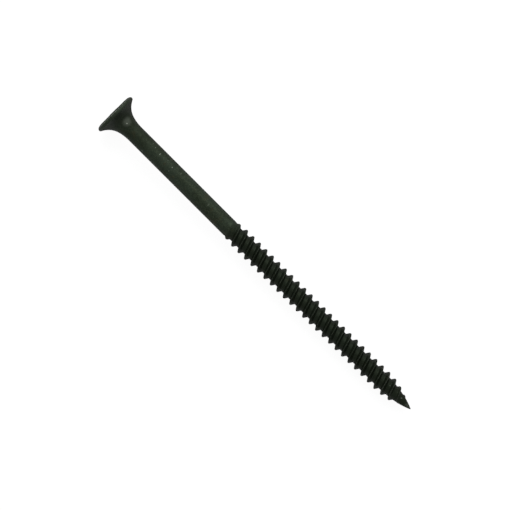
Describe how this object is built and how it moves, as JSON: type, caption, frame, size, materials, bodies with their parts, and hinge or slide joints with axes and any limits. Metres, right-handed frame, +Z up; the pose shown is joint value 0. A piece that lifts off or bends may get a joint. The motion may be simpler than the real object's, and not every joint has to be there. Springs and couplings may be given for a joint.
{
  "type": "countersunk cross-recess screw",
  "caption": "Long countersunk screw with a trumpet-shaped head, a cross recess, a plain shank, a coarse double-start thread and a sharp gimlet point.",
  "frame": {"origin": "centre of the head's flat face, where the axis meets the plane that ends flush with the wood; a countersunk screw's length is measured from it", "axes": "+X along the axis out of the head's face, so the shank and the point run towards -X; +Z up as the screw lies, through the middle of one wing of the cross recess; +Y through the next wing"},
  "size_m": [0.0762, 0.0084, 0.0084],
  "materials": {
    "black_phosphate_steel": "matt black phosphate with an olive cast, rubbed paler on crests and edges"
  },
  "bodies": {
    "root": {"screw": "black_phosphate_steel"}
  },
  "joints": []
}
